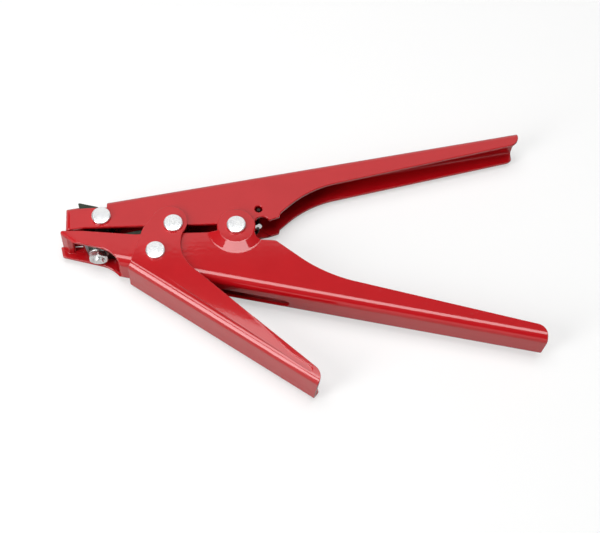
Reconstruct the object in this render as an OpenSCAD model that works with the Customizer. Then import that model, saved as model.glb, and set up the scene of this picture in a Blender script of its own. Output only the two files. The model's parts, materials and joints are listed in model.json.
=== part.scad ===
/* [Sheet] */
// thickness of the pressed steel sheet
sheet_t = 1.4; // [1:0.1:2]
// outer width of the two frame channels
frame_w = 14.6; // [12:0.1:18]
// outside radius of the upper frame bends
upper_bend_r = 2.5; // [1.8:0.1:4]
// outside radius of the lower frame bends
lower_bend_r = 3.5; // [1.8:0.1:4]
// outside radius of the lever bends
lever_bend_r = 2.8; // [1.8:0.1:4]
// outside radius of the bends at the nose wall
nose_bend_r = 2; // [1.6:0.1:3]
// outside radius of the bend of the raked nose flap
flap_bend_r = 1.6; // [1.5:0.1:2]

/* [Layers] */
// gap between the upper lug and the raised boss over it
boss_gap = 0.1; // [0.05:0.05:0.4]
// gap between the frame and the lever cheeks
lever_gap = 0.3; // [0.1:0.05:0.6]
// thickness of the link and lever rivet heads
head_t = 1.4; // [1:0.1:2]
// thickness of the pawl rivet heads
pawl_head_t = 1.6; // [1:0.1:2]

/* [Side drawing] */
// length that the shares of the side outlines refer to
draw_len = 100; // [80:1:130]
// slope of the upper spine in degrees
upper_slope = 9.26; // [8:0.1:10]
// slope of the lower spine in degrees
lower_slope = 13.5; // [12:0.1:14]
// gap between the front end of the lever spine and the lower spine
lever_spine_gap = 0.14; // [0.1:0.02:0.4]
// angle of the resting lever in degrees
lever_angle = 36.35; // [34:0.05:38]
// radius of the upper lug at the main pivot
lug_r = 6.8; // [6:0.1:7.2]
// radius of the raised boss at the main pivot
boss_r = 7.5; // [7.3:0.1:8.2]
// radius of the foot of the raised boss
boss_foot_r = 11; // [10:0.1:11.6]
// slope of the flank of the raised boss in degrees
boss_slope = 21; // [18:1:32]
// rounding at the top of that flank
boss_crest_r = 1.1; // [0.6:0.1:1.6]
// rounding at the foot of that flank
boss_blend_r = 3; // [1:0.1:4]
// radius of the lever lobe at the link rivet
lobe_r = 6.9; // [6:0.1:8]

/* [Pivots] */
// shank radius of the main rivet
main_shank_r = 2.5; // [2:0.1:3]
// shank radius of the other rivets
shank_r = 2.2; // [1.8:0.1:2.6]
// radius of the rivet heads
head_r = 3.7; // [3.4:0.1:4.2]
// rounding of the rivet head rim
head_rim_r = 0.7; // [0.3:0.1:0.9]
// radius of the link pin
pin_r = 1.5; // [1.2:0.1:1.8]
// outer radius of the main sleeve
main_sleeve_r = 3.6; // [3.3:0.1:4]
// outer radius of the lever sleeve
lever_sleeve_r = 3.2; // [2.9:0.1:3.4]
// outer radius of the spacer tubes on the link rivet
spacer_r = 2.9; // [2.7:0.1:3.1]
// running clearance of a pin in its hole, on the radius
fit = 0.05; // [0.02:0.01:0.1]
// play of the link on its pin, on the radius
link_play = 0.35; // [0.3:0.05:0.5]
// side play between sleeves and cheeks
side_play = 0.1; // [0.05:0.05:0.3]

/* [Openings] */
// width of the slot in the lower spine
slot_w = 5; // [4:0.1:6]
// shift of that slot from the middle plane
slot_shift = 2; // [1:0.1:3]
// radius of the spring hole in the upper cheek
spring_hole_r = 1.5; // [1.2:0.1:1.8]
// radius of the arch cut beside the upper lug
arch_r = 3.1; // [2.6:0.1:3.4]
// corner radius of the rivet notch in the upper cheeks
notch_r = 3.5; // [2.5:0.1:3.8]
// radius of the spacer recess in the lower cheeks
recess_r = 3.4; // [3.2:0.1:3.8]
// rounding of the far end corner of the lower spine
end_corner_r = 3.5; // [2:0.1:6]
// slant of the handle ends in degrees
end_slant = 4.5; // [0:0.5:8]

/* [Lever pressing] */
// depth of the pressed panel at the lever tip
panel_depth = 0.7; // [0.4:0.05:0.9]

/* [Pawl] */
// gap between the pawl and each upper cheek
pawl_side_gap = 0.3; // [0.3:0.05:0.6]
// radius of the pawl hub
hub_r = 4.2; // [3.8:0.1:4.4]
// radius of the spring notch in the pawl
pawl_notch_r = 5.4; // [5:0.1:5.8]
// depth of the pawl teeth
tooth_depth = 0.35; // [0.2:0.05:0.5]
// pitch of the pawl teeth
tooth_pitch = 0.7; // [0.5:0.05:1]

/* [Cutter] */
// thickness of the guide plate
guide_t = 1.2; // [1:0.1:1.4]
// length of the guide plate behind its front edge
guide_len = 7.1; // [6:0.1:8]
// sheet left in front of the strap slot
strap_inset = 1.3; // [1:0.1:2]
// length of the strap slot
strap_len = 3.4; // [2.4:0.1:4]
// sheet left beside the strap slot
strap_land = 1; // [0.6:0.1:1.4]
// gap between the guide plate and the blade
blade_gap = 0.15; // [0.1:0.05:0.25]
// thickness of the blade
blade_t = 1.5; // [1.2:0.1:1.6]
// distance from the rear of the blade to the rear of the carrier web
blade_heel = 0.5; // [0.2:0.1:1]
// gap between the blade and each lower cheek
blade_side_gap = 0.5; // [0.3:0.1:1]
// slant of the cutting edge, side to side
blade_slant = 1.3; // [0.8:0.1:1.6]
// length of the blade bevel
bevel_len = 1.2; // [0.8:0.1:1.6]
// thickness left at the cutting edge
edge_t = 0.2; // [0.1:0.05:0.4]
// reach of the blade in front of the carrier
blade_reach = 2.5; // [2:0.1:3]
// thickness of the carrier sheet
carrier_t = 1.5; // [1.3:0.1:1.6]
// thickness of the carrier ears
carrier_ear_t = 1.3; // [1.1:0.1:1.4]
// gap between the carrier and each lower cheek
carrier_side_gap = 0.2; // [0.15:0.05:0.4]
// length of the carrier web
carrier_len = 9; // [8.8:0.1:9.2]
// distance of the link pin behind the carrier web
pin_back = 3.5; // [3.2:0.1:4]
// length of the ear foot inside the web
ear_foot = 2.5; // [1.5:0.1:3]
// rounding of the carrier ears
ear_r = 2.4; // [2.1:0.1:2.6]
// thickness of the link cheeks
link_t = 1.5; // [1.2:0.1:1.6]
// gap between the link and each carrier ear
link_side_gap = 0.1; // [0.05:0.05:0.3]
// end radius of the link
link_r = 2.9; // [2.6:0.1:3]
// distance of the bolt axis behind the cutting edge
bolt_back = 6.2; // [5.8:0.1:6.4]
// shank radius of the clamp bolt, M4
bolt_r = 2; // [2:0.1:2]
// radius of the countersunk bolt head
bolt_head_r = 3.4; // [3:0.1:3.7]
// length of the bolt past the nut
bolt_tip = 0.8; // [0.4:0.1:1.5]
// outer radius of the spring washer
washer_r = 3.75; // [3.6:0.05:3.8]
// thickness of the spring washer
washer_t = 0.9; // [0.8:0.1:1]
// width of the split in the spring washer
washer_split = 0.5; // [0.4:0.1:1]
// width over the flats of the M4 nut
nut_flats = 7; // [7:0.1:7]
// thickness of the nut
nut_t = 2.6; // [2.2:0.1:3.2]

/* [Springs] */
// wire radius of the main spring
main_wire_r = 0.65; // [0.5:0.05:0.7]
// mean coil radius of the main spring
main_coil_r = 4.7; // [4.5:0.1:5]
// gap between the main coil and each lower cheek
main_coil_gap = 1.45; // [1:0.05:2]
// wire radius of the lever spring
lever_wire_r = 0.7; // [0.5:0.05:0.8]
// mean coil radius of the lever spring
lever_coil_r = 4.3; // [4.2:0.1:4.5]
// least gap between the lever coil and each lower cheek
lever_coil_gap = 0.8; // [0.5:0.05:1.2]
// shift of the lever coil from the middle plane
lever_coil_shift = 0.6; // [0.4:0.1:1]
// wire radius of the pawl spring
pawl_wire_r = 0.4; // [0.3:0.05:0.5]
// mean coil radius of the pawl spring
pawl_coil_r = 3; // [2.9:0.1:3.2]
// coil length of the pawl spring
pawl_coil_len = 2.8; // [2.6:0.1:3]
// gap between two turns of a coil
turn_gap = 0.45; // [0.42:0.01:0.6]
// bend radius of the spring legs
leg_bend = 1.4; // [1:0.1:2]
// clearance of a spring end from the sheet that it rests on
leg_gap = 0.1; // [0.05:0.05:0.3]

/* [Hidden] */
$fn = 48;
over = sheet_t * 4;
frame_half = frame_w / 2;
frame_in = frame_half - sheet_t;
boss_in = frame_half + boss_gap;
boss_out = boss_in + sheet_t;
lever_in = frame_half + lever_gap;
lever_out = lever_in + sheet_t;
rest_h = lever_out + head_t;
main_head_t = rest_h - boss_out;
slab = draw_len * 4;
main_r = main_shank_r + fit;
hole_r = shank_r + fit;
arc_steps = 8;
long_arc_steps = 16;
coil_steps = 8;
wire_sides = 6;
nut_sides = 6;

// heights and places as shares of the drawing length, from the main pivot
upper_spine_share = 0.219;
lower_spine_share = 0.248;
lever_pivot_shares = [-0.314, -0.102];
link_pivot_shares = [-0.244, 0.015];
pawl_pivot_shares = [-0.524, 0.065];
spring_eye_shares = [0.09, 0.081];
spring_knee_shares = [0.084, -0.003];
arch_shares = [0.102, 0.016];
window_low_shares = [-0.612, 0.108];
window_rear_share = -0.503;
notch_high_shares = [-0.324, 0.068];
notch_rear_share = -0.208;
slot_shares = [-0.258, 0.2];
guide_shares = [-0.646, -0.02];
blade_tip_share = -0.6;
pin_share = -0.026;
lever_front_share = -0.05;
lever_leg_share = 0.5;

lever_pivot = lever_pivot_shares * draw_len;
link_pivot = link_pivot_shares * draw_len;
pawl_pivot = pawl_pivot_shares * draw_len;
upper_spine_y = upper_spine_share * draw_len;
lower_spine_y = lower_spine_share * draw_len;
guide_tip = guide_shares * draw_len;
blade_tip = blade_tip_share * draw_len;
carrier_front = blade_tip + blade_reach;
carrier_rear = carrier_front + carrier_len;
pin_pivot = [carrier_rear + pin_back, pin_share * draw_len];
bolt_x = blade_tip + bolt_back;
strap_rear = guide_tip.x + strap_inset + strap_len;

// depth of the lower spine in the lever frame, at the front end of the lever
lever_axis = [cos(lever_angle), -sin(lever_angle)];
lever_start = lever_pivot + lever_axis * lever_front_share * draw_len;
spine_fall = lever_start.y + lower_spine_y + lever_start.x * tan(lower_slope);
spine_depth = spine_fall / (cos(lever_angle) + sin(lever_angle) * tan(lower_slope));
lever_back = spine_depth + lever_spine_gap + sheet_t;

boss_run = (boss_gap + sheet_t) / tan(boss_slope);
boss_inset = sheet_t * tan(boss_slope / 2);
boss_rim_r = boss_foot_r + boss_blend_r * tan(boss_slope / 2) + fit;
blade_top = blade_gap - guide_tip.y;
web_top = blade_top + blade_t + fit;
web_bottom = web_top + carrier_t;
pawl_half = frame_in - pawl_side_gap;
blade_half = frame_in - blade_side_gap;
carrier_half = frame_in - carrier_side_gap;
link_half = carrier_half - carrier_ear_t - link_side_gap;
strap_half = frame_in - strap_land;
nut_r = nut_flats / 2 / cos(180 / nut_sides);
bolt_cone = bolt_head_r - bolt_r;

// side outlines as shares of the drawing length, each with its corner radius share
upper_shares = [
    [-0.662, 0.0115, 0], [-0.587, 0.0195, 0], [0.06, 0.0195, 0], [0.129, 0.03, 0],
    [0.171, 0.043, 0.008], [0.176, 0.062, 0], [0.294, 0.167, 0.42], [1.156, 0.352, 0.042],
    [1.156, 0.6, 0], [-0.662, 0.6, 0]
];
lower_shares = [
    [-0.692, 0.009, 0.006], [-0.605, 0.007, 0], [-0.395, -0.0165, 0], [0.068, -0.0165, 0],
    [0.076, -0.054, 0.03], [0.152, -0.061, 0.025], [0.334, -0.215, 0.59], [1.163, -0.465, 0.045],
    [1.163, -0.7, 0], [-0.443, -0.7, 0]
];
near_nose_shares = [[-0.443, -0.091, 0.12], [-0.634, -0.041, 0.01]];
far_nose_shares = [[-0.443, -0.103, 0.12], [-0.684, -0.034, 0.012]];
rake_foot_shares = [-0.634, -0.041];
lever_shares = [
    [lever_front_share, -0.2, 0], [lever_front_share, -0.098, 0], [-0.101, 0.06, 0.1],
    [-0.097, 0.134, 0], [0.031, 0.163, 0],
    [0.046, 0.039, 0.15], [0.17, 0.022, 0.1], [0.76, -0.056, 0], [0.82, -0.065, 0.05], [0.817, -0.2, 0]
];
lobe_shares = [-0.031, 0.136];
panel_shares = [
    [0.085, -0.0634, 0], [0.1665, -0.07, 0.06], [0.7947, -0.0878, 0.008], [0.7618, -0.0678, 0.006],
    [0.6702, -0.0643, 0.09], [0.45, -0.0131, 0], [0.34, 0.03, 0]
];
crease_shares = [0.0739, -0.0711];
crease_angle = 17.4;
panel_reach_share = 0.224;
pawl_shares = [
    [-0.095, 0.077, 0.004], [-0.02, 0.057, 0.004], [0.02, 0.036, 0], [0, -0.03, 0], [-0.051, -0.025, 0.006]
];
pawl_face_shares = [[-0.078, 0.015], [-0.0835, 0.044], [-0.087, 0.059]];

// vectors and rounded outlines
function unit(v) = v / norm(v);
function flip(p) = [p.x, -p.y];
function corner(a, b, c, r, n) =
    let (u = unit(a - b))
    let (w = unit(c - b))
    let (half = acos(u * w) / 2)
    let (m = b + unit(u + w) * r / sin(half))
    let (p = b + u * r / tan(half) - m)
    let (q = b + w * r / tan(half) - m)
    let (start = atan2(p.y, p.x))
    let (turn = ((atan2(q.y, q.x) - start + 540) % 360) - 180)
    [for (k = [0 : n]) m + r * [cos(start + turn * k / n), sin(start + turn * k / n)]];
function flat(p) = [p[0], p[1]];
function rounded(list) =
    let (n = len(list))
    [for (i = [0 : n - 1])
        each list[i][2] == 0 ? [flat(list[i]) * draw_len]
            : corner(flat(list[(i + n - 1) % n]) * draw_len, flat(list[i]) * draw_len,
                flat(list[(i + 1) % n]) * draw_len, list[i][2] * draw_len,
                list[i][2] > 0.09 ? long_arc_steps : arc_steps)];

// outline filled with its points in counter-clockwise order
function turned(pts) =
    let (n = len(pts))
    let (area = [for (i = [0 : n - 1]) cross(pts[i], pts[(i + 1) % n])] * [for (i = [0 : n - 1]) 1])
    area > 0 ? pts : [for (i = [1 : n]) pts[n - i]];

module outline(pts) {
    polygon(turned(pts));
}

// wire paths and tubes
function arc_of(c, r, a, b, z0, z1) =
    let (n = ceil(abs(b - a) / 360 * coil_steps))
    [for (k = [0 : n])
        let (w = a + (b - a) * k / n) [c.x + r * cos(w), c.y + r * sin(w), z0 + (z1 - z0) * k / n]];
function bend(a, b, c, r) =
    let (p = b + unit(a - b) * r)
    let (q = b + unit(c - b) * r)
    [for (k = [0 : 3]) p * pow(1 - k / 3, 2) + b * 2 * (1 - k / 3) * k / 3 + q * pow(k / 3, 2)];
function aim(c, p) = atan2(p.y - c.y, p.x - c.x);
function lead(c, p, r) = acos(r / norm(flat(p) - c));
function tangents(pts) =
    let (n = len(pts))
    [for (i = [0 : n - 1]) unit(pts[min(i + 1, n - 1)] - pts[max(i - 1, 0)])];
function carried(ts, i, v) =
    i == len(ts) ? [] : let (w = unit(v - (v * ts[i]) * ts[i])) concat([w], carried(ts, i + 1, w));
function side_of(t) = abs(t.z) > 0.9 ? [1, 0, 0] : [0, 0, 1];
function turns(length, r) = floor(length / (r * 2 + turn_gap));
function apart(pts, skip) =
    min([for (i = [0 : len(pts) - 1 - skip]) for (j = [i + skip : len(pts) - 1]) norm(pts[i] - pts[j])]);

module wire(pts, r) {
    ts = tangents(pts);
    us = carried(ts, 0, side_of(ts[0]));
    n = len(pts);
    rings = [for (i = [0 : n - 1]) for (k = [0 : wire_sides - 1])
        pts[i] + r * (us[i] * cos(360 * k / wire_sides) + cross(ts[i], us[i]) * sin(360 * k / wire_sides))];
    walls = [for (i = [0 : n - 2]) for (k = [0 : wire_sides - 1])
        [i * wire_sides + k, (i + 1) * wire_sides + k, (i + 1) * wire_sides + (k + 1) % wire_sides,
            i * wire_sides + (k + 1) % wire_sides]];
    first = [for (k = [0 : wire_sides - 1]) k];
    last = [for (k = [0 : wire_sides - 1]) n * wire_sides - 1 - k];
    polyhedron(points = rings, faces = concat([first], walls, [last]), convexity = 10);
}

// layers and channels
module layer(z0, z1) {
    translate([0, 0, z0]) linear_extrude(z1 - z0) children();
}

module both_layers(z0, z1) {
    layer(z0, z1) children();
    layer(-z1, -z0) children();
}

module rod(p, r, z0, z1) {
    translate([p.x, p.y, z0]) cylinder(r = r, h = z1 - z0);
}

module u_section(w, r) {
    translate([r, -w / 2]) square([slab, w]);
    translate([0, r - w / 2]) square([slab, w - r * 2]);
    translate([r, r - w / 2]) circle(r = r);
    translate([r, w / 2 - r]) circle(r = r);
}

module channel(w, r) {
    translate([-slab / 2, 0, 0]) rotate([90, 0, 90]) linear_extrude(slab) u_section(w, r);
}

module upper_place() {
    translate([0, upper_spine_y, 0]) rotate(upper_slope) mirror([0, 1, 0]) children();
}

module lower_place() {
    translate([0, -lower_spine_y, 0]) rotate(-lower_slope) children();
}

module lever_place() {
    translate([lever_pivot.x, lever_pivot.y, 0]) rotate(-lever_angle) children();
}

module outer_channel(r) {
    channel(frame_w, r);
}

module inner_channel(r) {
    translate([0, sheet_t, 0]) channel(frame_in * 2, r - sheet_t);
}

// each handle ends a little sooner at its far cheek
module slanted_end(x, half) {
    translate([x, 0, half]) rotate([0, end_slant, 0])
        translate([0, -slab, -slab]) cube([slab, slab * 2, slab]);
}

// rivets
module head(t) {
    rotate_extrude() {
        square([head_r, t - head_rim_r]);
        square([head_r - head_rim_r, t]);
        translate([head_r - head_rim_r, t - head_rim_r]) circle(r = head_rim_r);
    }
}

module rivet(p, r, z, t) {
    rod(p, r, -z - t / 2, z + t / 2);
    translate([p.x, p.y, z]) head(t);
    translate([p.x, p.y, -z]) mirror([0, 0, 1]) head(t);
}

module tube(p, outer, inner, z0, z1) {
    difference() {
        rod(p, outer, z0, z1);
        rod(p, inner, z0 - over, z1 + over);
    }
}

// upper frame, the handle with the nose wall and the pawl window
module upper_plan(x, r, half) {
    rotate([90, 0, 0]) translate([0, 0, -slab / 2]) linear_extrude(slab) {
        translate([x + r, -half]) square([slab, half * 2]);
        translate([x, r - half]) square([slab, (half - r) * 2]);
        translate([x + r, r - half]) circle(r = r);
        translate([x + r, half - r]) circle(r = r);
    }
}

module rivet_notch() {
    high = notch_high_shares * draw_len;
    width = notch_rear_share * draw_len - high.x;
    translate([high.x, -slab]) square([width, slab + high.y - notch_r]);
    translate([high.x + notch_r, 0]) square([width - notch_r * 2, high.y]);
    translate([high.x + notch_r, high.y - notch_r]) circle(r = notch_r);
    translate([high.x + width - notch_r, high.y - notch_r]) circle(r = notch_r);
}

// inside, the window reaches the cheeks below the bends, so the pawl clears them
module pawl_window() {
    low = window_low_shares * draw_len;
    width = window_rear_share * draw_len - low.x;
    half = frame_in + fit;
    translate([low.x, low.y, -slab / 2]) cube([width, slab, slab]);
    translate([low.x, low.y + sheet_t - upper_bend_r, -half]) cube([width, slab, half * 2]);
}

module upper_side() {
    difference() {
        union() {
            outline(rounded(upper_shares));
            circle(r = lug_r);
        }
        translate(arch_shares * draw_len) circle(r = arch_r);
        circle(r = main_r);
        translate(pawl_pivot) circle(r = hole_r);
        translate(spring_eye_shares * draw_len) circle(r = spring_hole_r);
        rivet_notch();
    }
}

module upper_frame() {
    nose_x = upper_shares[0][0] * draw_len;
    color("firebrick") difference() {
        intersection() {
            layer(-frame_half, frame_half) upper_side();
            upper_place() outer_channel(upper_bend_r);
            upper_plan(nose_x, nose_bend_r, frame_half);
        }
        intersection() {
            upper_place() inner_channel(upper_bend_r);
            upper_plan(nose_x + sheet_t, nose_bend_r - sheet_t, frame_in);
        }
        pawl_window();
        slanted_end(upper_shares[7][0] * draw_len, frame_half);
    }
}

// lower frame, the body with the raised boss, the raked flap and the slotted spine
module lower_side(nose) {
    difference() {
        union() {
            outline(rounded(concat(lower_shares, nose)));
            circle(r = boss_r);
        }
        circle(r = main_r);
        translate(lever_pivot) circle(r = hole_r);
        translate(link_pivot) circle(r = recess_r);
    }
}

module boss() {
    lip_r = boss_r + fit;
    crest_r = boss_foot_r - boss_run;
    lip_z = frame_in + (boss_foot_r - boss_inset - lip_r) * tan(boss_slope);
    crest = [crest_r, boss_out];
    foot = [boss_foot_r, frame_half];
    rim = [boss_rim_r, frame_half];
    rotate_extrude() outline(concat(
        [[0, boss_in], [lip_r, boss_in], [lip_r, lip_z]],
        [[boss_foot_r - boss_inset, frame_in], [rim.x, frame_in], rim],
        corner(rim, foot, crest, boss_blend_r, arc_steps),
        corner(foot, crest, [0, boss_out], boss_crest_r, arc_steps),
        [[0, boss_out]]
    ));
}

module bossed_cheek(nose, z0) {
    difference() {
        layer(z0, frame_half) lower_side(nose);
        rod([0, 0], boss_foot_r, z0 - over, frame_half + over);
    }
    intersection() {
        boss();
        layer(frame_in, boss_out) lower_side(nose);
    }
}

module rake_place() {
    tip = [lower_shares[0][0], lower_shares[0][1]] * draw_len;
    foot = rake_foot_shares * draw_len;
    translate([tip.x, tip.y, 0]) rotate(aim(tip, foot)) children();
}

module rake_channel(x, half, r) {
    translate([-slab / 2, x, 0]) rotate([90, 0, 90]) linear_extrude(slab) {
        translate([0, -slab]) square([slab, slab + half - r]);
        translate([r, 0]) square([slab, slab]);
        translate([r, half - r]) circle(r = r);
    }
}

module nose_bridge() {
    difference() {
        layer(-frame_in - sheet_t / 2, fit) lower_side(near_nose_shares);
        rod([0, 0], boss_rim_r + fit, -slab, slab);
    }
}

module spine_slot() {
    start = slot_shares[0] * draw_len;
    stop = slot_shares[1] * draw_len - slot_w / 2;
    lower_place() translate([0, over, -slot_shift]) rotate([90, 0, 0]) linear_extrude(over * 2) {
        translate([start, -slot_w / 2]) square([stop - start, slot_w]);
        translate([start, 0]) circle(r = slot_w / 2);
        translate([stop, 0]) circle(r = slot_w / 2);
    }
}

// the far corner at the end of the lower spine is cut round
module rounded_end() {
    stop = lower_shares[7][0] * draw_len - end_corner_r;
    rotate([90, 0, 0]) translate([stop, end_corner_r - frame_half, -slab])
        linear_extrude(slab * 2) difference() {
            translate([0, -slab]) square([slab, slab]);
            circle(r = end_corner_r);
        }
}

module lower_frame() {
    flap_end = guide_tip.y - fit;
    color("firebrick") difference() {
        union() {
            intersection() {
                union() {
                    bossed_cheek(near_nose_shares, 0);
                    nose_bridge();
                }
                union() {
                    lower_place() outer_channel(lower_bend_r);
                    rod([0, 0], boss_foot_r + sheet_t, frame_in, boss_out);
                }
                rake_place() rake_channel(0, frame_half, flap_bend_r);
            }
            intersection() {
                mirror([0, 0, 1]) bossed_cheek(far_nose_shares, frame_in);
                union() {
                    lower_place() outer_channel(lower_bend_r);
                    rod([0, 0], boss_foot_r + sheet_t, -boss_out, -frame_in);
                }
            }
        }
        intersection() {
            lower_place() inner_channel(lower_bend_r);
            rake_place() rake_channel(sheet_t, frame_in, flap_bend_r - sheet_t);
        }
        spine_slot();
        rounded_end();
        slanted_end(lower_shares[7][0] * draw_len, frame_half);
        translate([-slab, -slab + flap_end, -frame_in]) cube([slab + strap_rear, slab, frame_in * 2]);
    }
}

// the guide plate ends where the inner bends of the flap begin
module strap_guide_plate() {
    color("silver") difference() {
        translate([guide_tip.x, guide_tip.y, -frame_in]) cube([guide_len, guide_t, frame_in * 2]);
        translate([strap_rear - strap_len, guide_tip.y - over, -strap_half])
            cube([strap_len, over * 2, strap_half * 2]);
        rake_place() translate([-slab / 2, flap_bend_r - slab, -slab / 2]) cube([slab, slab, slab]);
    }
}

module main_pivot_rivet() {
    color("gainsboro") rivet([0, 0], main_shank_r, boss_out, main_head_t);
}

module main_pivot_sleeve() {
    half = frame_in - side_play;
    color("silver") tube([0, 0], main_sleeve_r, main_r, -half, half);
}

module lever_pivot_rivet() {
    color("gainsboro") rivet(lever_pivot, shank_r, lever_out, head_t);
}

module lever_pivot_sleeve() {
    half = frame_in - side_play;
    color("silver") tube(lever_pivot, lever_sleeve_r, hole_r, -half, half);
}

module pawl_rivet() {
    color("gainsboro") rivet(pawl_pivot, shank_r, frame_half, pawl_head_t);
}

module link_rivet() {
    color("gainsboro") rivet(link_pivot, shank_r, lever_out, head_t);
}

module link_spacers() {
    color("silver") {
        tube(link_pivot, spacer_r, hole_r, link_half + side_play, lever_in - side_play);
        tube(link_pivot, spacer_r, hole_r, side_play - lever_in, -link_half - side_play);
    }
}

// springs
module main_return_spring() {
    hook_z = frame_half - main_wire_r;
    eye = spring_eye_shares * draw_len;
    knee = spring_knee_shares * draw_len;
    z = frame_in - main_wire_r - main_coil_gap;
    a = aim([0, 0], eye) + lead([0, 0], eye, main_coil_r);
    b = aim([0, 0], knee) - lead([0, 0], knee, main_coil_r) + 360 * turns(z * 2, main_wire_r);
    coil = arc_of([0, 0], main_coil_r, a, b, -z, z);
    eye_low = [eye.x, eye.y, -z];
    knee_low = [knee.x, knee.y, z];
    knee_high = [knee.x, knee.y, hook_z];
    path = concat(
        [[eye.x, eye.y, hook_z]],
        bend([eye.x, eye.y, hook_z], eye_low, coil[0], leg_bend),
        coil,
        bend(coil[len(coil) - 1], knee_low, knee_high, leg_bend),
        [knee_high]
    );
    echo("main spring least gap", apart(path, coil_steps / 2 + 1) - main_wire_r * 2);
    color("dimgray") wire(path, main_wire_r);
}

module lever_return_spring() {
    reach = lever_leg_share * draw_len;
    drop = lever_back - sheet_t - lever_wire_r - leg_gap;
    half = frame_in - lever_wire_r - lever_coil_gap - lever_coil_shift;
    along = sqrt(reach * reach - drop * drop);
    tip = lever_pivot + lever_axis * along + [lever_axis.y, -lever_axis.x] * drop;
    rest_x = lever_start.x - lever_coil_r;
    lift = (sheet_t + lever_wire_r + leg_gap) / cos(lower_slope);
    rest = [rest_x, lift - lower_spine_y - rest_x * tan(lower_slope)];
    a = aim(lever_pivot, tip) + lead(lever_pivot, tip, lever_coil_r);
    b = aim(lever_pivot, rest) - lead(lever_pivot, rest, lever_coil_r) + 360 * turns(half * 2, lever_wire_r);
    z0 = lever_coil_shift - half;
    z1 = lever_coil_shift + half;
    coil = arc_of(lever_pivot, lever_coil_r, a, b, z0, z1);
    path = concat([[tip.x, tip.y, z0]], coil, [[rest.x, rest.y, frame_half - lower_bend_r - lever_wire_r]]);
    echo("lever spring least gap", apart(path, coil_steps / 2 + 1) - lever_wire_r * 2);
    color("dimgray") wire(path, lever_wire_r);
}

module pawl_spring() {
    reach = pawl_notch_r - pawl_wire_r - leg_gap;
    tip = pawl_pivot + [-reach * sin(20), reach * cos(20)];
    rest_x = pawl_pivot.x + hub_r * 2;
    drop = (sheet_t + pawl_wire_r + leg_gap) / cos(upper_slope);
    rest = [rest_x, upper_spine_y + rest_x * tan(upper_slope) - drop];
    a = aim(pawl_pivot, tip) + lead(pawl_pivot, tip, pawl_coil_r);
    b = aim(pawl_pivot, rest) - lead(pawl_pivot, rest, pawl_coil_r) + 360 * turns(pawl_coil_len, pawl_wire_r);
    z = pawl_coil_len / 2;
    path = concat([[tip.x, tip.y, -z]], arc_of(pawl_pivot, pawl_coil_r, a, b, -z, z), [[rest.x, rest.y, z]]);
    echo("pawl spring least gap", apart(path, coil_steps / 2 + 1) - pawl_wire_r * 2);
    color("dimgray") wire(path, pawl_wire_r);
}

// gripping pawl with its toothed face
module gripping_pawl() {
    low = pawl_face_shares[0] * draw_len;
    high = pawl_face_shares[1] * draw_len;
    along = unit(high - low);
    out = [-along.y, along.x];
    notch_half = pawl_coil_len / 2 + pawl_wire_r + leg_gap;
    teeth = [for (k = [0 : floor(norm(high - low) / tooth_pitch) - 1])
        each [low + along * tooth_pitch * k, low + along * tooth_pitch * (k + 0.5) + out * tooth_depth]];
    body = rounded(pawl_shares);
    color("dimgray") translate([pawl_pivot.x, pawl_pivot.y, 0]) difference() {
        layer(-pawl_half, pawl_half) {
            outline(concat(body, teeth, [high, pawl_face_shares[2] * draw_len]));
            circle(r = hub_r);
        }
        rod([0, 0], hole_r, -slab, slab);
        rod([0, 0], pawl_notch_r, -notch_half, notch_half);
    }
}

// cutting lever with its pressed side panels
module lever_blank() {
    layer(-lever_out, lever_out) outline(rounded(lever_shares));
    rod(lobe_shares * draw_len, lobe_r, -lever_out, lever_out);
}

// the panel deepens away from a slanted crease
module panel() {
    crease = crease_shares * draw_len;
    intersection() {
        layer(frame_half, lever_out + over) outline(rounded(panel_shares));
        translate([crease.x, crease.y, lever_out]) rotate(crease_angle)
            rotate([atan(panel_depth / (panel_reach_share * draw_len)), 0, 0])
                translate([-slab / 2, -slab, 0]) cube([slab, slab, over]);
    }
}

module cutting_lever() {
    color("firebrick") lever_place() difference() {
        intersection() {
            lever_blank();
            translate([0, -lever_back, 0]) channel(lever_out * 2, lever_bend_r);
        }
        rod([0, 0], hole_r, -slab, slab);
        rotate(lever_angle) rod(link_pivot - lever_pivot, hole_r, -slab, slab);
        translate([0, sheet_t - lever_back, 0]) channel(lever_in * 2, lever_bend_r - sheet_t);
        panel();
        mirror([0, 0, 1]) panel();
        slanted_end(lever_shares[8][0] * draw_len, lever_out);
    }
}

// link between the lever and the blade carrier
module cutter_link() {
    span = norm(pin_pivot - link_pivot);
    tilt = aim(link_pivot, pin_pivot);
    web = link_r - link_t;
    color("silver") translate([link_pivot.x, link_pivot.y, 0]) rotate(tilt) difference() {
        union() {
            both_layers(link_half - link_t, link_half) {
                circle(r = link_r);
                translate([0, -link_r]) square([span, link_r * 2]);
                translate([span, 0]) circle(r = link_r);
            }
            translate([link_r, -link_r, -link_half]) cube([span - link_r * 2, link_t, link_half * 2]);
        }
        rod([0, 0], hole_r, -slab, slab);
        rod([span, 0], pin_r + link_play, -slab, slab);
    }
}

module blade_carrier() {
    ear_x = carrier_rear - ear_foot;
    color("silver") difference() {
        union() {
            translate([carrier_front, -web_bottom, -carrier_half])
                cube([carrier_len, carrier_t, carrier_half * 2]);
            both_layers(carrier_half - carrier_ear_t, carrier_half) {
                translate([ear_x, -web_bottom]) square([pin_pivot.x + ear_r - ear_x, carrier_t]);
                translate([carrier_rear, -web_bottom]) square([pin_back, web_bottom + pin_pivot.y + ear_r]);
                translate(pin_pivot) circle(r = ear_r);
            }
        }
        rod(pin_pivot, pin_r + fit, -slab, slab);
        translate([bolt_x, 0, 0]) rotate([90, 0, 0]) cylinder(r = bolt_r + fit, h = slab);
    }
}

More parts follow.
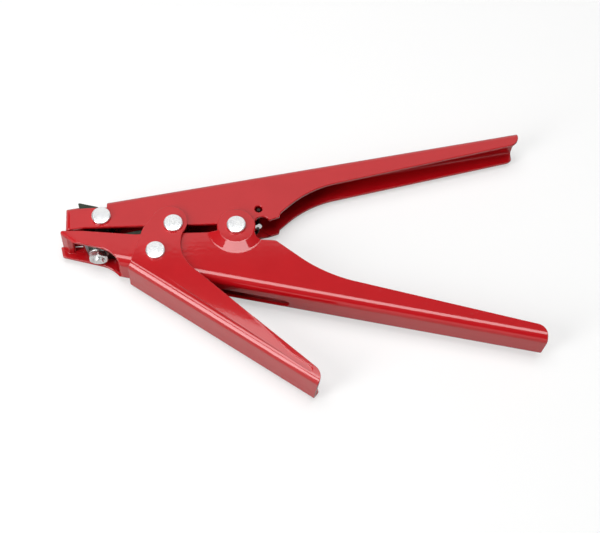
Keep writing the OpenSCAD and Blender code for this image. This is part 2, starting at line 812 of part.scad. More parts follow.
module cutter_blade() {
    slant = atan(blade_slant / blade_half / 2);
    rear = carrier_rear - blade_heel;
    color("lightsteelblue") difference() {
        translate([0, -blade_top, 0]) rotate([90, 0, 0]) linear_extrude(blade_t) outline([
            [blade_tip - blade_slant / 2, blade_half], [blade_tip + blade_slant / 2, -blade_half],
            [rear, -blade_half], [rear, blade_half]
        ]);
        translate([blade_tip, -blade_top - edge_t, 0]) rotate([0, -slant, 0])
            rotate([0, 0, -atan((blade_t - edge_t) / bevel_len)]) translate([-over, -over * 2, -slab / 2])
                cube([over * 3, over * 2, slab]);
        translate([bolt_x, -blade_top, 0]) rotate([90, 0, 0]) {
            cylinder(r1 = bolt_head_r + fit, r2 = bolt_r + fit, h = bolt_cone);
            cylinder(r = bolt_r + fit, h = slab);
        }
    }
}

module clamp_bolt() {
    length = web_bottom + washer_t + nut_t + bolt_tip - blade_top;
    color("gainsboro") translate([bolt_x, -blade_top, 0]) rotate([90, 0, 0]) {
        cylinder(r1 = bolt_head_r, r2 = bolt_r, h = bolt_cone);
        cylinder(r = bolt_r, h = length);
    }
}

module clamp_washer() {
    color("gainsboro") translate([bolt_x, -web_bottom, 0]) rotate([90, 0, 0]) difference() {
        cylinder(r = washer_r, h = washer_t);
        translate([0, 0, -over]) cylinder(r = bolt_r + fit, h = over * 2);
        rotate(45) translate([0, -washer_split / 2, -over]) cube([slab, washer_split, over * 2]);
    }
}

module clamp_nut() {
    color("gainsboro") translate([bolt_x, -web_bottom - washer_t, 0]) rotate([90, 0, 0]) difference() {
        intersection() {
            rotate(180 / nut_sides) cylinder(r = nut_r, h = nut_t, $fn = nut_sides);
            cylinder(r1 = nut_r + nut_t, r2 = nut_flats / 2, h = nut_t + nut_r - nut_flats / 2);
        }
        translate([0, 0, -over]) cylinder(r = bolt_r + fit, h = slab);
    }
}

module link_pin() {
    color("gainsboro") rod(pin_pivot, pin_r, -carrier_half, carrier_half);
}

translate([0, 0, rest_h]) lower_frame();
translate([0, 0, rest_h]) strap_guide_plate();
translate([0, 0, rest_h]) main_pivot_rivet();
translate([0, 0, rest_h]) main_pivot_sleeve();
translate([0, 0, rest_h]) main_return_spring();
translate([0, 0, rest_h]) lever_pivot_rivet();
translate([0, 0, rest_h]) lever_pivot_sleeve();
translate([0, 0, rest_h]) lever_return_spring();
translate([0, 0, rest_h]) upper_frame();
translate([0, 0, rest_h]) pawl_rivet();
translate([0, 0, rest_h]) pawl_spring();
translate([0, 0, rest_h]) gripping_pawl();
translate([0, 0, rest_h]) cutting_lever();
translate([0, 0, rest_h]) link_rivet();
translate([0, 0, rest_h]) link_spacers();
translate([0, 0, rest_h]) cutter_link();
translate([0, 0, rest_h]) blade_carrier();
translate([0, 0, rest_h]) cutter_blade();
translate([0, 0, rest_h]) clamp_bolt();
translate([0, 0, rest_h]) clamp_washer();
translate([0, 0, rest_h]) clamp_nut();
translate([0, 0, rest_h]) link_pin();
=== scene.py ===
import json
import math

import bmesh
import bpy
from mathutils import Euler, Matrix, Vector


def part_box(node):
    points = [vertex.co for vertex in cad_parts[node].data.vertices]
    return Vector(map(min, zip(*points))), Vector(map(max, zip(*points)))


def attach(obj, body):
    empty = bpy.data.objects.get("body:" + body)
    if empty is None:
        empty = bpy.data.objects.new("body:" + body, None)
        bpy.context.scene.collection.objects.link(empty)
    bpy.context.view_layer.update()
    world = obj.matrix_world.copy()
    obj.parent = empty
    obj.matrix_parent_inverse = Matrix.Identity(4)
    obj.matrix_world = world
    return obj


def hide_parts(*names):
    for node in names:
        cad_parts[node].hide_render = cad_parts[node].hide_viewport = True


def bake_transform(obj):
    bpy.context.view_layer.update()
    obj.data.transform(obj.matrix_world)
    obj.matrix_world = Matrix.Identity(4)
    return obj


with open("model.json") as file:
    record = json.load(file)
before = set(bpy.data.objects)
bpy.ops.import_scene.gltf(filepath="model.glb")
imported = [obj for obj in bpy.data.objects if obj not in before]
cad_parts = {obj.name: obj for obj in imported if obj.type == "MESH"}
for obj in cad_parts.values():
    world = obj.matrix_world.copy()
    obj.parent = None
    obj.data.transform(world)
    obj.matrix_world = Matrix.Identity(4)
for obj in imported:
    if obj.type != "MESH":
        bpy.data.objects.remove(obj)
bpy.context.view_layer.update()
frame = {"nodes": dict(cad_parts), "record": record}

mm = 0.001
restHeight = 10.4 * mm   # the middle plane of the tool above the table
cadWeld = 0.004 * mm     # the corners of the CAD triangles are joined within this reach
skinWeld = 0.002 * mm    # and the seams of skins made here within this one
scene = bpy.context.scene
nodes = frame["nodes"]


# sRGB hex to the linear values that Blender works in
def linear(hexText, alpha=1.0):
    values = [int(hexText[i:i + 2], 16) / 255 for i in (0, 2, 4)]
    return [v / 12.92 if v <= 0.04045 else ((v + 0.055) / 1.055) ** 2.4 for v in values] + [alpha]


# a name or number of an input sets that input, any other name sets the node itself
def addNode(tree, kind, place, settings=None, links=None):
    node = tree.nodes.new(kind)
    node.location = place
    for name, value in (settings or {}).items():
        if isinstance(name, int) or name in node.inputs:
            node.inputs[name].default_value = value
        else:
            setattr(node, name, value)
    for name, source in (links or {}).items():
        tree.links.new(source, node.inputs[name])
    return node


def blankMaterial(name):
    material = bpy.data.materials.new(name)
    material.use_nodes = True
    material.node_tree.nodes.clear()
    return material, material.node_tree


# pattern scale from the real width of one feature in mm
def scaleOf(width):
    return 1000 / width


# settings that mix from the shade to the colour
def tones(shade, colour):
    return {"data_type": "RGBA", 6: linear(shade), 7: linear(colour)}


# settings that spread the middle range of a noise, which it seldom leaves, between two ends
def spread(ends):
    return {"From Min": 0.3, "From Max": 0.7, "To Min": ends[0], "To Max": ends[1]}


# all bare metals end in this shader, with the default index of refraction
def metalSurface(material, tree, tint, sheen, bump):
    shader = addNode(tree, "ShaderNodeBsdfPrincipled", (100, 0), {"Metallic": 1.0},
                     {"Base Color": tint.outputs[2], "Roughness": sheen.outputs["Result"],
                      "Normal": bump.outputs["Normal"]})
    addNode(tree, "ShaderNodeOutputMaterial", (460, 0), {}, {"Surface": shader.outputs["BSDF"]})
    return material


# Stoved enamel, sprayed on the pressed steel and baked. The eye gets a deep red under a hard clear gloss,
# orange peel that wavers the reflections, a slow swell that the press left in the sheet, and small dust nibs.
enamelLook = {
    "colour": "BE0C16", "shade": "B20912", "cloudWidth": 11.0, "rough": (0.34, 0.46), "underSheen": 0.12,
    "peelWidth": 1.6, "peelDepth": 0.007, "swellWidth": 26.0, "swellDepth": 0.09,
    "nibSpacing": 2.6, "nibShare": 0.09, "nibDepth": 0.05, "gloss": 0.055, "ior": 1.54,
}


def stovedEnamel(look):
    material, tree = blankMaterial("stoved_red_enamel")
    place = addNode(tree, "ShaderNodeTexCoord", (-1500, 0)).outputs["Object"]
    cloud = addNode(tree, "ShaderNodeTexNoise", (-1200, 400),
                    {"Scale": scaleOf(look["cloudWidth"]), "Detail": 3.0, "Roughness": 0.55}, {"Vector": place})
    tint = addNode(tree, "ShaderNodeMix", (-600, 400), tones(look["shade"], look["colour"]),
                   {0: cloud.outputs["Fac"]})
    haze = addNode(tree, "ShaderNodeMapRange", (-600, 100), spread(look["rough"]),
                   {"Value": cloud.outputs["Fac"]})
    swell = addNode(tree, "ShaderNodeTexNoise", (-1200, -100),
                    {"Scale": scaleOf(look["swellWidth"]), "Detail": 0.5}, {"Vector": place})
    peel = addNode(tree, "ShaderNodeTexNoise", (-1200, -350),
                   {"Scale": scaleOf(look["peelWidth"]), "Detail": 1.5, "Roughness": 0.45}, {"Vector": place})
    nibs = addNode(tree, "ShaderNodeTexVoronoi", (-1200, -600),
                   {"Scale": scaleOf(look["nibSpacing"]), "Randomness": 1.0}, {"Vector": place})
    nibTops = addNode(tree, "ShaderNodeMapRange", (-900, -600),
                      {"interpolation_type": "SMOOTHSTEP", "From Min": 0.0, "From Max": look["nibShare"],
                       "To Min": 1.0, "To Max": 0.0},
                      {"Value": nibs.outputs["Distance"]})
    swellBump = addNode(tree, "ShaderNodeBump", (-500, -150),
                        {"Strength": 1.0, "Distance": look["swellDepth"] * mm}, {"Height": swell.outputs["Fac"]})
    peelBump = addNode(tree, "ShaderNodeBump", (-300, -350),
                       {"Strength": 1.0, "Distance": look["peelDepth"] * mm},
                       {"Height": peel.outputs["Fac"], "Normal": swellBump.outputs["Normal"]})
    nibBump = addNode(tree, "ShaderNodeBump", (-100, -550),
                      {"Strength": 0.35, "Distance": look["nibDepth"] * mm},
                      {"Height": nibTops.outputs["Result"], "Normal": peelBump.outputs["Normal"]})
    shader = addNode(tree, "ShaderNodeBsdfPrincipled", (200, 0),
                     {"IOR": 1.5, "Specular IOR Level": look["underSheen"], "Coat Weight": 1.0,
                      "Coat Roughness": look["gloss"], "Coat IOR": look["ior"]},
                     {"Base Color": tint.outputs[2], "Roughness": haze.outputs["Result"],
                      "Normal": swellBump.outputs["Normal"], "Coat Normal": nibBump.outputs["Normal"]})
    addNode(tree, "ShaderNodeOutputMaterial", (560, 0), {}, {"Surface": shader.outputs["BSDF"]})
    return material


# Bright zinc plate on cold-headed steel. The eye gets a near white metal with a soft sheen,
# faint rings where the head was spun flat and small marks from the plating barrel.
brightLook = {
    "colour": "F4F4F2", "shade": "E2E4E7", "stainWidth": 2.4, "ringSpacing": 0.45, "ringDepth": 0.004,
    "markWidth": 0.35, "markDepth": 0.004, "rough": (0.2, 0.32),
}


def brightZinc(look):
    material, tree = blankMaterial("bright_zinc_plate")
    place = addNode(tree, "ShaderNodeTexCoord", (-1500, 0)).outputs["Object"]
    stain = addNode(tree, "ShaderNodeTexNoise", (-1200, 300),
                    {"Scale": scaleOf(look["stainWidth"]), "Detail": 4.0}, {"Vector": place})
    tint = addNode(tree, "ShaderNodeMix", (-600, 300), tones(look["shade"], look["colour"]),
                   {0: stain.outputs["Fac"]})
    marks = addNode(tree, "ShaderNodeTexNoise", (-1200, 0),
                    {"Scale": scaleOf(look["markWidth"]), "Detail": 2.0}, {"Vector": place})
    sheen = addNode(tree, "ShaderNodeMapRange", (-600, 0), spread(look["rough"]),
                    {"Value": marks.outputs["Fac"]})
    spun = addNode(tree, "ShaderNodeAttribute", (-1500, -300), {"attribute_name": "spunRadius"})
    turned = addNode(tree, "ShaderNodeMath", (-1200, -300),
                     {"operation": "MULTIPLY", 1: 2 * math.pi * scaleOf(look["ringSpacing"])},
                     {0: spun.outputs["Fac"]})
    rings = addNode(tree, "ShaderNodeMath", (-1000, -300), {"operation": "SINE"}, {0: turned.outputs["Value"]})
    ringBump = addNode(tree, "ShaderNodeBump", (-600, -300),
                       {"Strength": 0.5, "Distance": look["ringDepth"] * mm}, {"Height": rings.outputs["Value"]})
    markBump = addNode(tree, "ShaderNodeBump", (-300, -200),
                       {"Strength": 0.6, "Distance": look["markDepth"] * mm},
                       {"Height": marks.outputs["Fac"], "Normal": ringBump.outputs["Normal"]})
    return metalSurface(material, tree, tint, sheen, markBump)


# Zinc plate on stamped steel, left as it came from the barrel. The eye gets a soft grey with cloudy,
# slightly blue patches and a duller sheen than the rivet heads.
stampedLook = {
    "colour": "C3C6C8", "shade": "9DA2A8", "cloudWidth": 3.5, "grainWidth": 0.5, "grainDepth": 0.01,
    "rough": (0.32, 0.52),
}


def stampedZinc(look):
    material, tree = blankMaterial("stamped_zinc_plate")
    place = addNode(tree, "ShaderNodeTexCoord", (-1300, 0)).outputs["Object"]
    cloud = addNode(tree, "ShaderNodeTexNoise", (-1000, 200),
                    {"Scale": scaleOf(look["cloudWidth"]), "Detail": 5.0, "Distortion": 0.4}, {"Vector": place})
    tint = addNode(tree, "ShaderNodeMix", (-500, 200), tones(look["shade"], look["colour"]),
                   {0: cloud.outputs["Fac"]})
    grain = addNode(tree, "ShaderNodeTexNoise", (-1000, -100),
                    {"Scale": scaleOf(look["grainWidth"]), "Detail": 3.0}, {"Vector": place})
    sheen = addNode(tree, "ShaderNodeMapRange", (-500, -50), spread(look["rough"]),
                    {"Value": grain.outputs["Fac"]})
    bump = addNode(tree, "ShaderNodeBump", (-300, -300),
                   {"Strength": 0.5, "Distance": look["grainDepth"] * mm}, {"Height": grain.outputs["Fac"]})
    return metalSurface(material, tree, tint, sheen, bump)


# Oil-tempered spring wire, drawn through a die and phosphated. The eye gets an almost black, dull metal with
# fine drawing lines along the wire, here about 0.2 mm apart so that they show.
wireLook = {
    "colour": "3E3A36", "shade": "242220", "lineSpacing": 0.2, "lineStretch": 0.02, "lineDepth": 0.01,
    "rough": (0.36, 0.55),
}


def drawnWire(look):
    material, tree = blankMaterial("oil_tempered_wire")
    run = addNode(tree, "ShaderNodeAttribute", (-1500, 0), {"attribute_name": "wirePlace"})
    along = addNode(tree, "ShaderNodeMapping", (-1300, 0),
                    {"Scale": (look["lineStretch"], 1.0, 1.0)}, {"Vector": run.outputs["Vector"]})
    lines = addNode(tree, "ShaderNodeTexNoise", (-1000, 0),
                    {"Scale": scaleOf(look["lineSpacing"]), "Detail": 2.0}, {"Vector": along.outputs["Vector"]})
    tint = addNode(tree, "ShaderNodeMix", (-500, 200), tones(look["shade"], look["colour"]),
                   {0: lines.outputs["Fac"]})
    sheen = addNode(tree, "ShaderNodeMapRange", (-500, 0), spread(look["rough"]),
                    {"Value": lines.outputs["Fac"]})
    bump = addNode(tree, "ShaderNodeBump", (-300, -250),
                   {"Strength": 0.5, "Distance": look["lineDepth"] * mm}, {"Height": lines.outputs["Fac"]})
    return metalSurface(material, tree, tint, sheen, bump)


# Tool steel hardened and quenched in oil. The eye gets a dark grey with a green-brown cast,
# blotchy where the oil burned off, and a low broken sheen.
quenchLook = {
    "colour": "474D45", "shade": "262923", "blotchWidth": 2.8, "scaleWidth": 0.4, "scaleDepth": 0.02,
    "rough": (0.3, 0.56),
}


def quenchedSteel(look):
    material, tree = blankMaterial("oil_quenched_steel")
    place = addNode(tree, "ShaderNodeTexCoord", (-1300, 0)).outputs["Object"]
    blotch = addNode(tree, "ShaderNodeTexNoise", (-1000, 200),
                     {"Scale": scaleOf(look["blotchWidth"]), "Detail": 5.0, "Distortion": 0.8},
                     {"Vector": place})
    tint = addNode(tree, "ShaderNodeMix", (-500, 200), tones(look["shade"], look["colour"]),
                   {0: blotch.outputs["Fac"]})
    scale = addNode(tree, "ShaderNodeTexNoise", (-1000, -100),
                    {"Scale": scaleOf(look["scaleWidth"]), "Detail": 3.0}, {"Vector": place})
    sheen = addNode(tree, "ShaderNodeMapRange", (-500, -50), spread(look["rough"]),
                    {"Value": blotch.outputs["Fac"]})
    bump = addNode(tree, "ShaderNodeBump", (-300, -300),
                   {"Strength": 0.5, "Distance": look["scaleDepth"] * mm}, {"Height": scale.outputs["Fac"]})
    return metalSurface(material, tree, tint, sheen, bump)


# Blade steel, ground on a wheel. The eye gets straight grinding lines across the blade: soft grey ones on the flats
# and finer, smoother ones on the bevel, whose lighter colour is a painted highlight. Real lines are 0.05 mm apart;
# these are coarser so that they show.
bodyLook = {
    "name": "ground_blade_steel", "colour": "9DA3A7", "shade": "7B8084", "lineSpacing": 0.3,
    "lineStretch": 0.04, "lineDepth": 0.02, "lean": 4, "rough": (0.28, 0.44),
}
# the bevel's lighter colour is a painted highlight; its finer, smoother grind is real
bevelHighlightLook = {
    "name": "whetted_bevel_painted_highlight", "colour": "DCDFE1", "shade": "BFC4C8", "lineSpacing": 0.18,
    "lineStretch": 0.03, "lineDepth": 0.006, "lean": 4, "rough": (0.16, 0.26),
}


def groundSteel(look):
    material, tree = blankMaterial(look["name"])
    place = addNode(tree, "ShaderNodeTexCoord", (-1500, 0)).outputs["Object"]
    across = addNode(tree, "ShaderNodeMapping", (-1300, 0),
                     {"Scale": (look["lineStretch"], 1.0, 1.0), "Rotation": (0, math.radians(look["lean"]), 0)},
                     {"Vector": place})
    lines = addNode(tree, "ShaderNodeTexNoise", (-1000, 0),
                    {"Scale": scaleOf(look["lineSpacing"]), "Detail": 3.0}, {"Vector": across.outputs["Vector"]})
    tint = addNode(tree, "ShaderNodeMix", (-500, 200), tones(look["shade"], look["colour"]),
                   {0: lines.outputs["Fac"]})
    sheen = addNode(tree, "ShaderNodeMapRange", (-500, 0), spread(look["rough"]),
                    {"Value": lines.outputs["Fac"]})
    bump = addNode(tree, "ShaderNodeBump", (-300, -250),
                   {"Strength": 0.5, "Distance": look["lineDepth"] * mm}, {"Height": lines.outputs["Fac"]})
    return metalSurface(material, tree, tint, sheen, bump)


enamel = stovedEnamel(enamelLook)
brightPlate = brightZinc(brightLook)
stampedPlate = stampedZinc(stampedLook)
springWire = drawnWire(wireLook)
hardSteel = quenchedSteel(quenchLook)
bladeSteel = groundSteel(bodyLook)
bevelHighlightSteel = groundSteel(bevelHighlightLook)
finishes = {
    "red_enamel": enamel, "rivet_steel": brightPlate, "zinc_steel": stampedPlate,
    "spring_steel": springWire, "hardened_steel": hardSteel, "blade_steel": bladeSteel,
}
slotOf = {part["node"]: part["material_slot"] for part in frame["record"]["subparts"]}
for name, cadNode in nodes.items():
    cadNode.data.materials.clear()
    cadNode.data.materials.append(finishes[slotOf[name]])
print("materials ready:", len(bpy.data.materials))


def bodyOf(nodeName):
    bodies = frame["record"]["behaviour"]["bodies"]
    return next(body for body, members in bodies.items() if nodeName in members)


def newPiece(name, mesh):
    piece = bpy.data.objects.new(name, mesh)
    scene.collection.objects.link(piece)
    return piece


def markEdges(shape, sharp):
    for face in shape.faces:
        face.smooth = True
    for edge in shape.edges:
        edge.smooth = not (edge.is_manifold and edge.calc_face_angle() > math.radians(sharp))


# joins the seams, turns every face outwards and marks the edges that stay sharp
def closeSkin(shape, sharp):
    bmesh.ops.remove_doubles(shape, verts=shape.verts, dist=skinWeld)
    bmesh.ops.recalc_face_normals(shape, faces=shape.faces)
    markEdges(shape, sharp)


# the modifiers' result becomes the piece's own mesh
def bakeModifiers(piece):
    bpy.context.view_layer.update()
    finished = piece.evaluated_get(bpy.context.evaluated_depsgraph_get())
    mesh = bpy.data.meshes.new_from_object(finished)
    mesh.name = piece.name
    piece.modifiers.clear()
    piece.data = mesh


def standFor(piece, nodeName):
    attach(piece, bodyOf(nodeName))
    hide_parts(nodeName)


# adds a flat plate of sheet, so that two cuts become one solid before the edges are eased
def fillIn(piece, look):
    shape = bmesh.new()
    low = [shape.verts.new((x * mm, y * mm, look["from"] * mm)) for x, y in look["outline"]]
    shape.faces.new(low)
    grown = bmesh.ops.extrude_face_region(shape, geom=list(shape.faces))
    top = [part for part in grown["geom"] if isinstance(part, bmesh.types.BMVert)]
    bmesh.ops.translate(shape, verts=top, vec=(0, 0, (look["to"] - look["from"]) * mm))
    bmesh.ops.recalc_face_normals(shape, faces=shape.faces)
    mesh = bpy.data.meshes.new("filler")
    shape.to_mesh(mesh)
    shape.free()
    filler = newPiece("filler", mesh)
    union = piece.modifiers.new("filled", "BOOLEAN")
    union.operation = "UNION"
    union.solver = "EXACT"
    union.object = filler
    bakeModifiers(piece)
    bpy.data.objects.remove(filler)


# The stamped and pressed pieces get the rounded edges that tumbling, wear and paint give them. In a look, ease is
# the width of the rounding in mm, sharp the least angle in degrees that counts as an edge, and leave lists spots,
# each with its reach in mm, where edges are too crowded to be rounded.
flatTurn = 0.8   # degrees; CAD faces that turn less than this become one


def easedCopy(nodeName, look):
    piece = newPiece(look["name"], nodes[nodeName].data.copy())
    if "filler" in look:
        fillIn(piece, look["filler"])
    shape = bmesh.new()
    shape.from_mesh(piece.data)
    bmesh.ops.remove_doubles(shape, verts=shape.verts, dist=cadWeld)
    bmesh.ops.dissolve_limit(shape, angle_limit=math.radians(flatTurn), verts=shape.verts, edges=shape.edges)
    bmesh.ops.recalc_face_normals(shape, faces=shape.faces)
    markEdges(shape, look["sharp"])
    share = shape.edges.layers.float.new("bevel_weight_edge")
    for edge in shape.edges:
        middle = (edge.verts[0].co + edge.verts[1].co) / 2
        crowded = any((middle - Vector(spot) * mm).length < reach * mm
                      for spot, reach in look.get("leave", ()))
        edge[share] = 0.0 if edge.smooth or crowded else 1.0
    shape.to_mesh(piece.data)
    shape.free()
    if piece.data.has_custom_normals:
        bpy.context.view_layer.objects.active = piece
        bpy.ops.mesh.customdata_custom_splitnormals_clear()
    bevel = piece.modifiers.new("ease", "BEVEL")
    bevel.width = look["ease"] * mm
    bevel.segments = look.get("steps", 2)
    bevel.limit_method = "WEIGHT"
    bevel.use_clamp_overlap = False   # clamping would shrink every edge to the shortest one
    bevel.loop_slide = False
    weighted = piece.modifiers.new("even", "WEIGHTED_NORMAL")
    weighted.keep_sharp = True
    bakeModifiers(piece)
    piece.data.materials.clear()
    piece.data.materials.append(finishes[look.get("slot", slotOf[nodeName])])
    return piece


# the far cheek's arch cut is filled, because dark red sheet shows through that of the near cheek
upperLook = {
    "name": "upper_frame_enamelled", "ease": 0.27, "sharp": 32,
    "filler": {
        "outline": [(6.4, 2.011), (12.9, 3.0), (14.0, 3.34), (14.0, 5.5), (6.4, 5.5)], "from": 3.1, "to": 4.5,
    },
    "leave": [((6.6, 2.0, 3.1), 0.9), ((6.6, 2.0, 4.5), 0.9)],   # the filled cut's own corner
}
upperPiece = easedCopy("upper_frame", upperLook)
standFor(upperPiece, "upper_frame")

lowerLook = {
    "name": "lower_frame_enamelled", "ease": 0.2, "sharp": 32,
    # sheets meet at too small an angle at the first two; the blade carrier needs the room at the third
    "leave": [((-69.0, 0.7, 4.5), 1.3), ((-46.2, -12.9, 4.7), 1.0), ((-59.9, -5.0, 16.1), 0.7)],
}
lowerPiece = easedCopy("lower_frame", lowerLook)
standFor(lowerPiece, "lower_frame")

leverLook = {
    "name": "cutting_lever_enamelled", "ease": 0.18, "sharp": 32,
    # where the spine's end meets the cheeks
    "leave": [((-22.1, -25.7, 19.4), 1.0), ((-22.1, -25.7, 1.4), 1.0)],
}
leverPiece = easedCopy("cutting_lever", leverLook)
standFor(leverPiece, "cutting_lever")
print("enamelled sheets ready")

smallPieces = {
    "clamp_washer": {"name": "clamp_washer_plated", "ease": 0.12, "sharp": 35},
    "blade_carrier": {"name": "blade_carrier_hardened", "ease": 0.14, "sharp": 32, "slot": "hardened_steel"},
    # the link's dark quenched steel is also a painted shade: it stands in for the shadow in the slit between the
    # frames
    "cutter_link": {"name": "cutter_link_hardened_painted_shade", "ease": 0.14, "sharp": 32, "slot": "hardened_steel"},
    "strap_guide_plate": {"name": "strap_guide_enamelled", "ease": 0.04, "sharp": 35, "slot": "red_enamel"},
    "main_pivot_sleeve": {"name": "main_sleeve_turned", "ease": 0.15, "sharp": 35},
    "lever_pivot_sleeve": {"name": "lever_sleeve_turned", "ease": 0.15, "sharp": 35},
    "link_spacers": {"name": "link_spacers_turned", "ease": 0.12, "sharp": 35},
    "link_pin": {"name": "link_pin_turned", "ease": 0.2, "sharp": 35},
    "gripping_pawl": {"name": "gripping_pawl_hardened", "ease": 0.07, "sharp": 30},
}
for nodeName, look in smallPieces.items():
    standFor(easedCopy(nodeName, look), nodeName)
print("small stamped pieces ready:", len(smallPieces))

# the whetted bevel of the blade faces down and forwards; its steel is painted lighter than the rest, a painted
# highlight
bladeLook = {
    "name": "cutter_blade_ground", "ease": 0.04, "steps": 1, "sharp": 20,
    "highlightBevelFacing": (-0.73, -0.68, 0.0), "highlightBevelMatch": 0.93,
}
bladePiece = easedCopy("cutter_blade", bladeLook)
bladePiece.data.materials.append(bevelHighlightSteel)
for face in bladePiece.data.polygons:
    if face.normal.dot(Vector(bladeLook["highlightBevelFacing"])) > bladeLook["highlightBevelMatch"]:
        face.material_index = 1
standFor(bladePiece, "cutter_blade")
print("blade ready")


# rings of points, one for each row of the profile, closed into a skin
def turnedSkin(name, rows, segments, finish, sharp, placing):
    shape = bmesh.new()
    turns = [2 * math.pi * k / segments for k in range(segments)]
    rings = [[shape.verts.new(placing @ Vector(pointAt(turn))) for turn in turns] for pointAt in rows]
    for low, high in zip(rings, rings[1:]):
        for k in range(segments):
            after = (k + 1) % segments
            shape.faces.new((low[k], low[after], high[after], high[k]))
    closeSkin(shape, sharp)
    mesh = bpy.data.meshes.new(name)
    shape.to_mesh(mesh)
    shape.free()
    mesh.materials.append(finish)
    return newPiece(name, mesh)


# the local axis of bolt and nut runs down towards the open side of the frame
boltLow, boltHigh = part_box("clamp_bolt")
nutLow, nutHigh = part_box("clamp_nut")
boltAxis = Vector(((boltLow.x + boltHigh.x) / 2, boltHigh.y, (boltLow.z + boltHigh.z) / 2))
alongBolt = Matrix(((mm, 0, 0, boltAxis.x), (0, 0, -mm, boltAxis.y), (0, mm, 0, boltAxis.z), (0, 0, 0, 1)))

# M4 nut, cold formed: its corners and both faces chamfered, the hole countersunk
nutLook = {
    "name": "clamp_nut_plated", "flats": 7.0, "corner": 3.9, "face": 3.2, "chamfer": 30, "bore": 2.05,
    "sink": 2.62, "segments": 96, "sharp": 20,
}


def hexReach(angle):
    turn = math.degrees(angle) % 60 - 30   # the corners lie at 30, 90, 150 degrees and so on
    return min(nutLook["flats"] / 2 / math.cos(math.radians(30 - abs(turn))), nutLook["corner"])


def nutRow(height, radius=None, slope=0.0):
    def pointAt(angle):
        reach = hexReach(angle)
        r = reach if radius is None else radius
        fall = (reach - nutLook["face"]) * math.tan(math.radians(nutLook["chamfer"])) * slope
        return r * math.cos(angle), r * math.sin(angle), height + fall
    return pointAt


nutStart = (boltHigh.y - nutHigh.y) / mm
nutEnd = (boltHigh.y - nutLow.y) / mm
sinkDepth = nutLook["sink"] - nutLook["bore"]
nutRows = [
    nutRow(nutStart + sinkDepth, nutLook["bore"]), nutRow(nutStart, nutLook["sink"]),
    nutRow(nutStart, nutLook["face"]), nutRow(nutStart, None, 1.0), nutRow(nutEnd, None, -1.0),
    nutRow(nutEnd, nutLook["face"]), nutRow(nutEnd, nutLook["sink"]),
    nutRow(nutEnd - sinkDepth, nutLook["bore"]), nutRow(nutStart + sinkDepth, nutLook["bore"]),
]
nutPiece = turnedSkin(nutLook["name"], nutRows, nutLook["segments"], brightPlate, nutLook["sharp"], alongBolt)
standFor(nutPiece, "clamp_nut")

# M4 bolt with its thread rolled on: crest at the full radius, one groove every 0.7 mm, the tip chamfered
boltLook = {
    "name": "clamp_bolt_threaded", "head": 3.4, "shank": 2.0, "cone": 1.4, "pitch": 0.7, "groove": 0.38,
    "plain": 2.6, "tip": 1.62, "tipDish": 0.06, "rowStep": 0.07, "segments": 48, "sharp": 30,
}


def boltRow(along, end):
    def pointAt(angle):
        turn = (along / boltLook["pitch"] - angle / (2 * math.pi)) % 1.0
        groove = boltLook["groove"] * (1 - abs(2 * turn - 1)) if along > boltLook["plain"] else 0.0
        r = min(boltLook["shank"] - groove, boltLook["tip"] + (end - along))
        return r * math.cos(angle), r * math.sin(angle), along
    return pointAt


def plainRow(radius, along):
    return lambda angle: (radius * math.cos(angle), radius * math.sin(angle), along)


boltEnd = (boltHigh.y - boltLow.y) / mm
boltRows = [plainRow(0, 0), plainRow(boltLook["head"], 0), plainRow(boltLook["shank"], boltLook["cone"])]
shankLength = boltEnd - boltLook["cone"]
stepCount = int(shankLength / boltLook["rowStep"])
for step in range(1, stepCount + 1):
    boltRows.append(boltRow(boltLook["cone"] + shankLength * step / stepCount, boltEnd))
boltRows.append(plainRow(0, boltEnd - boltLook["tipDish"]))
boltPiece = turnedSkin(boltLook["name"], boltRows, boltLook["segments"], brightPlate, boltLook["sharp"], alongBolt)
standFor(boltPiece, "clamp_bolt")
print("nut and bolt ready")


def groupSockets(tree, inputs):
    tree.interface.new_socket("Geometry", in_out="INPUT", socket_type="NodeSocketGeometry")
    for name, kind in inputs.items():
        tree.interface.new_socket(name, in_out="INPUT", socket_type=kind)
    tree.interface.new_socket("Geometry", in_out="OUTPUT", socket_type="NodeSocketGeometry")


def madeByNodes(name, startMesh, tree, values, sharp):
    piece = newPiece(name, startMesh)
    modifier = piece.modifiers.new("nodes", "NODES")
    modifier.node_group = tree
    for socket in tree.interface.items_tree:
        if socket.in_out == "INPUT" and socket.name in values:
            modifier[socket.identifier] = values[socket.name]
    bakeModifiers(piece)
    shape = bmesh.new()
    shape.from_mesh(piece.data)
    closeSkin(shape, sharp)
    shape.to_mesh(piece.data)
    shape.free()
    return piece


# A rivet from its middle plane to its head, turned from a flat grid; a mirror copy is the other half. The grid's
# columns go round the axis, and its rows run over these stages: the first row, the last row and what the stage's
# value rises to between them.
rivetStages = {
    "crown": (0.0, 5.0, 1.0), "rim": (5.0, 11.0, math.pi / 2), "side": (11.0, 12.0, 1.0),
    "seat": (12.0, 13.0, 1.0), "shank": (13.0, 14.0, 1.0),
}

